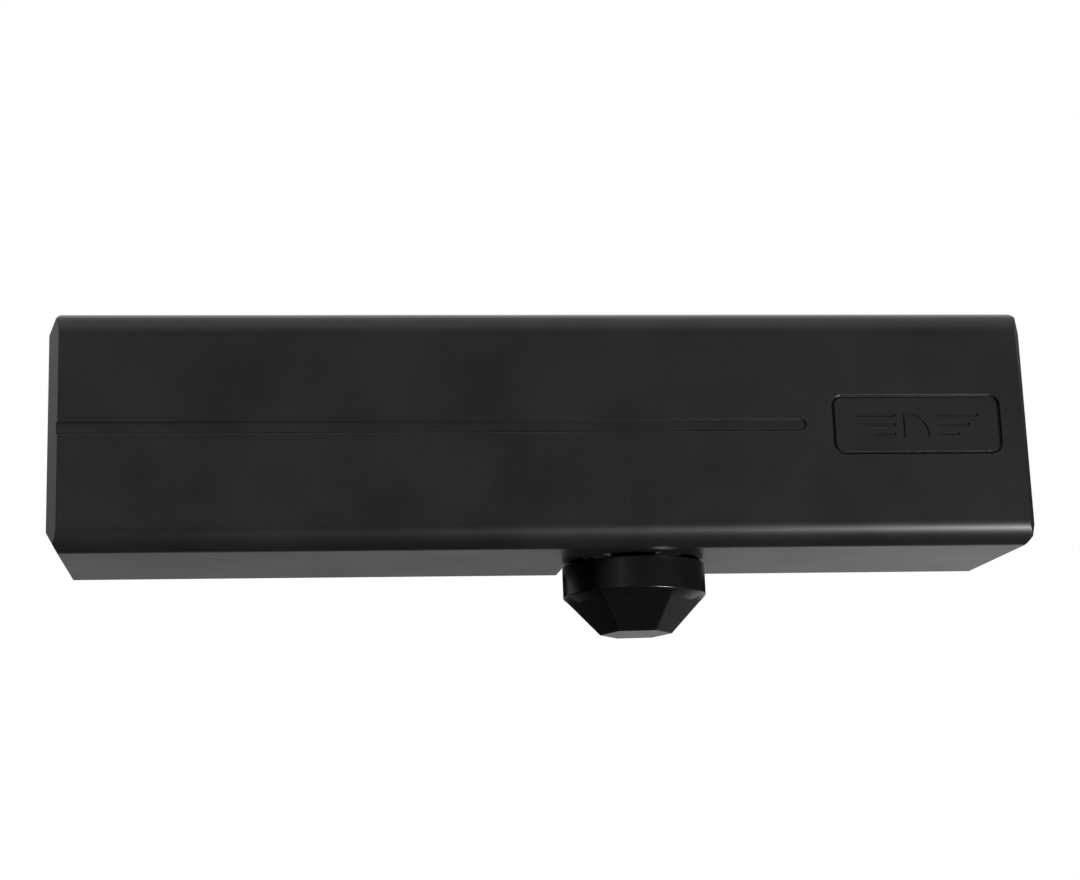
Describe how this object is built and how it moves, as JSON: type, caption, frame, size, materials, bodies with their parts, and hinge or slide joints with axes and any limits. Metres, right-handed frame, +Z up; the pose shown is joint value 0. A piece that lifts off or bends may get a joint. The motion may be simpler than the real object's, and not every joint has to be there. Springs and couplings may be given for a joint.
{
  "type": "door closer",
  "caption": "Surface-mounted hydraulic door closer: a black slide-on cover over a rack-and-pinion body with a capped spindle, closing spring and adjusting valves.",
  "frame": {"origin": "centre of the pattern of fixing holes, on the face that meets the door", "axes": "+X along the closer, to the right when facing the cover; +Y out of the closer into the door; +Z up, towards the arm end of the spindle"},
  "size_m": [0.246, 0.048, 0.0826],
  "materials": {
    "satin_black_cover": "satin black moulding",
    "satin_black_badge": "satin black moulding",
    "satin_black_cap": "fine satin black",
    "cast_aluminium": "die cast, black coated",
    "hardened_steel": "ground and hardened",
    "cast_iron_piston": "ground",
    "black_seal": "filled PTFE",
    "spring_steel": "shot peened, oiled",
    "pressed_steel": "pressed",
    "plug_steel": "turned",
    "black_rubber": "moulded nitrile",
    "gland_steel": "turned, black phosphated",
    "bearing_steel": "polished",
    "brown_rubber": "moulded fluoro rubber",
    "valve_brass": "turned",
    "grey_nylon": "moulded nylon",
    "zinc_screws": "zinc plated"
  },
  "bodies": {
    "housing": {"housing": "cast_aluminium", "closing_spring": "spring_steel", "spring_seat": "pressed_steel", "left_end_plug": "plug_steel", "right_end_plug": "plug_steel", "left_plug_seal": "black_rubber", "right_plug_seal": "black_rubber", "upper_gland": "gland_steel", "lower_gland": "gland_steel", "upper_gland_seal": "black_rubber", "lower_gland_seal": "black_rubber", "upper_bearing_cup": "bearing_steel", "lower_bearing_cup": "bearing_steel", "upper_shaft_seal": "brown_rubber", "lower_shaft_seal": "brown_rubber", "passage_plug": "plug_steel", "left_cover_clip": "grey_nylon", "right_cover_clip": "grey_nylon", "clip_screws": "zinc_screws"},
    "spindle": {"pinion_spindle": "hardened_steel", "spindle_cap": "satin_black_cap"},
    "upper_needle_set": {"upper_needles": "bearing_steel"},
    "lower_needle_set": {"lower_needles": "bearing_steel"},
    "piston": {"rack_piston": "cast_iron_piston", "piston_seal": "black_seal", "check_retainer": "valve_brass", "relief_retainer": "valve_brass", "check_spring": "spring_steel", "relief_spring": "spring_steel"},
    "check_ball": {"check_ball": "bearing_steel"},
    "relief_ball": {"relief_ball": "bearing_steel"},
    "closing_valve_seal_ring": {"closing_valve_seal": "black_rubber"},
    "closing_valve": {"closing_valve": "valve_brass"},
    "latching_valve_seal_ring": {"latching_valve_seal": "black_rubber"},
    "latching_valve": {"latching_valve": "valve_brass"},
    "backcheck_valve_seal_ring": {"backcheck_valve_seal": "black_rubber"},
    "backcheck_valve": {"backcheck_valve": "valve_brass"},
    "cover": {"cover": "satin_black_cover", "badge": "satin_black_badge"}
  },
  "joints": [
    {"name": "spindle_turn", "type": "hinge", "parent": "housing", "child": "spindle", "pos_m": [0.0245, -0.021, 0], "axis": [0, 0, 1], "range_deg": [0, 180]},
    {"name": "piston_slide", "type": "slide", "parent": "housing", "child": "piston", "axis": [-1, 0, 0], "range_m": [0, 0.03142], "stiffness_N_per_m": 100, "springref_m": -0.01, "deforming": ["closing_spring"]},
    {"name": "upper_needle_orbit", "type": "hinge", "parent": "housing", "child": "upper_needle_set", "pos_m": [0.0245, -0.021, 0.02], "axis": [0, 0, 1], "range_deg": [0, 78]},
    {"name": "lower_needle_orbit", "type": "hinge", "parent": "housing", "child": "lower_needle_set", "pos_m": [0.0245, -0.021, -0.02], "axis": [0, 0, 1], "range_deg": [0, 78]},
    {"name": "check_ball_lift", "type": "slide", "parent": "piston", "child": "check_ball", "axis": [1, 0, 0], "range_m": [0, 0.0008], "stiffness_N_per_m": 1, "springref_m": -0.001, "deforming": ["check_spring"]},
    {"name": "relief_ball_lift", "type": "slide", "parent": "piston", "child": "relief_ball", "axis": [-1, 0, 0], "range_m": [0, 0.0006], "stiffness_N_per_m": 1, "springref_m": -0.001, "deforming": ["relief_spring"]},
    {"name": "closing_valve_advance", "type": "slide", "parent": "housing", "child": "closing_valve_seal_ring", "axis": [0, 1, 0], "range_m": [-0.0008, 0.0008]},
    {"name": "closing_valve_turn", "type": "hinge", "parent": "closing_valve_seal_ring", "child": "closing_valve", "pos_m": [0.084, -0.0423, 0.0196], "axis": [0, 1, 0], "range_deg": [-360, 360]},
    {"name": "latching_valve_advance", "type": "slide", "parent": "housing", "child": "latching_valve_seal_ring", "axis": [0, 1, 0], "range_m": [-0.0008, 0.0008]},
    {"name": "latching_valve_turn", "type": "hinge", "parent": "latching_valve_seal_ring", "child": "latching_valve", "pos_m": [0.07, -0.0423, 0.0196], "axis": [0, 1, 0], "range_deg": [-360, 360]},
    {"name": "backcheck_valve_advance", "type": "slide", "parent": "housing", "child": "backcheck_valve_seal_ring", "axis": [0, 1, 0], "range_m": [-0.0008, 0.0008]},
    {"name": "backcheck_valve_turn", "type": "hinge", "parent": "backcheck_valve_seal_ring", "child": "backcheck_valve", "pos_m": [0.056, -0.0423, 0.0196], "axis": [0, 1, 0], "range_deg": [-360, 360]},
    {"name": "cover_slide", "type": "slide", "parent": "housing", "child": "cover", "axis": [0, -1, 0], "range_m": [0, 0.055]}
  ],
  "couplings": [
    {"joint": "spindle_turn", "follows": "piston_slide", "rad_per_m": 100},
    {"joint": "upper_needle_orbit", "follows": "piston_slide", "rad_per_m": 43.011},
    {"joint": "lower_needle_orbit", "follows": "piston_slide", "rad_per_m": 43.011},
    {"joint": "closing_valve_turn", "follows": "closing_valve_advance", "rad_per_m": 7854},
    {"joint": "latching_valve_turn", "follows": "latching_valve_advance", "rad_per_m": 7854},
    {"joint": "backcheck_valve_turn", "follows": "backcheck_valve_advance", "rad_per_m": 7854}
  ]
}
